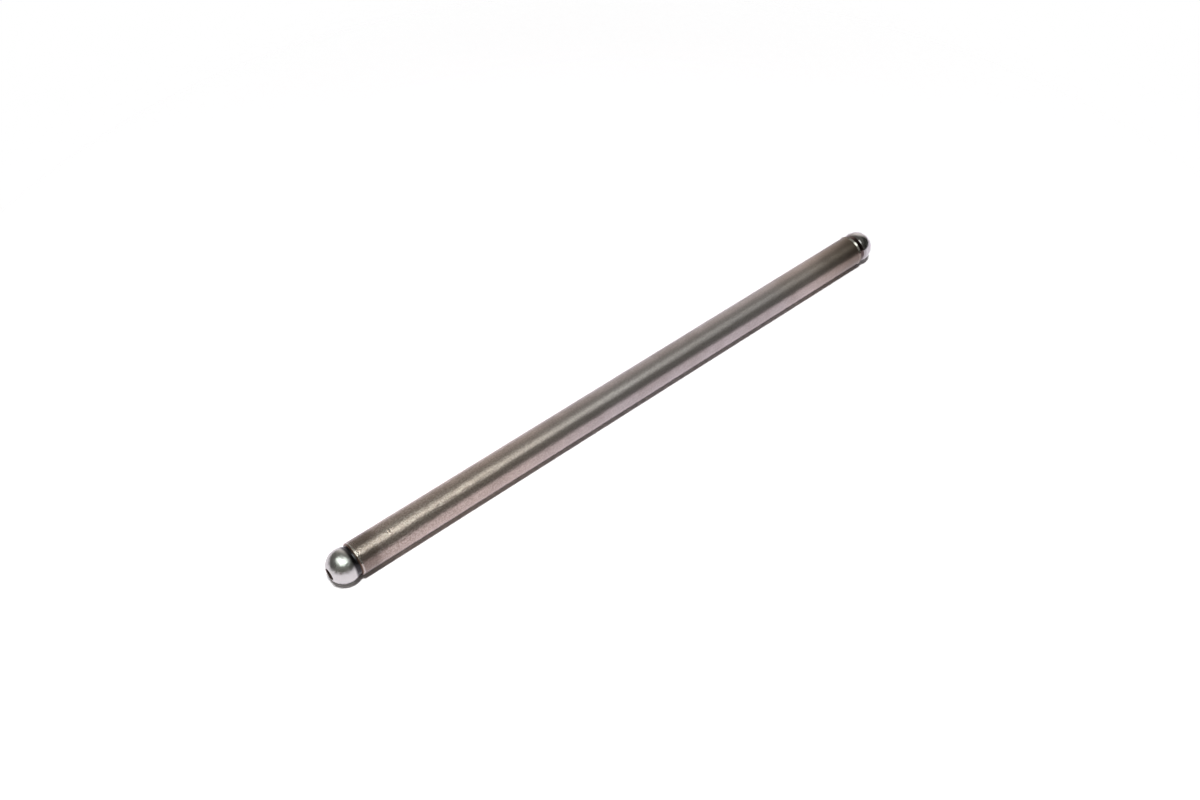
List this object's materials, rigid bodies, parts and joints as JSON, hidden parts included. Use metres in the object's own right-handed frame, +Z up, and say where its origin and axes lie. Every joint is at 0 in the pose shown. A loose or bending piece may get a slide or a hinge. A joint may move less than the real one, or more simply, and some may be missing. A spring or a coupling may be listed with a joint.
{
  "type": "engine pushrod",
  "caption": "Straight hollow steel pushrod with a drilled ball tip pressed into each end, passing lift and oil from a valve lifter to a rocker arm.",
  "frame": {"origin": "on the rod's axis, midway between its two ball ends", "axes": "+X along the rod's axis from the rocker end to the lifter end, +Z up as the rod lies"},
  "size_m": [0.169, 0.008, 0.008],
  "materials": {
    "tube_steel": "satin, brown-grey heat-treat tint",
    "rocker_tip_steel": "satin ground, hardened",
    "lifter_tip_steel": "polished, hardened"
  },
  "bodies": {
    "root": {"push_tube": "tube_steel", "rocker_ball_tip": "rocker_tip_steel", "lifter_ball_tip": "lifter_tip_steel"}
  },
  "joints": []
}
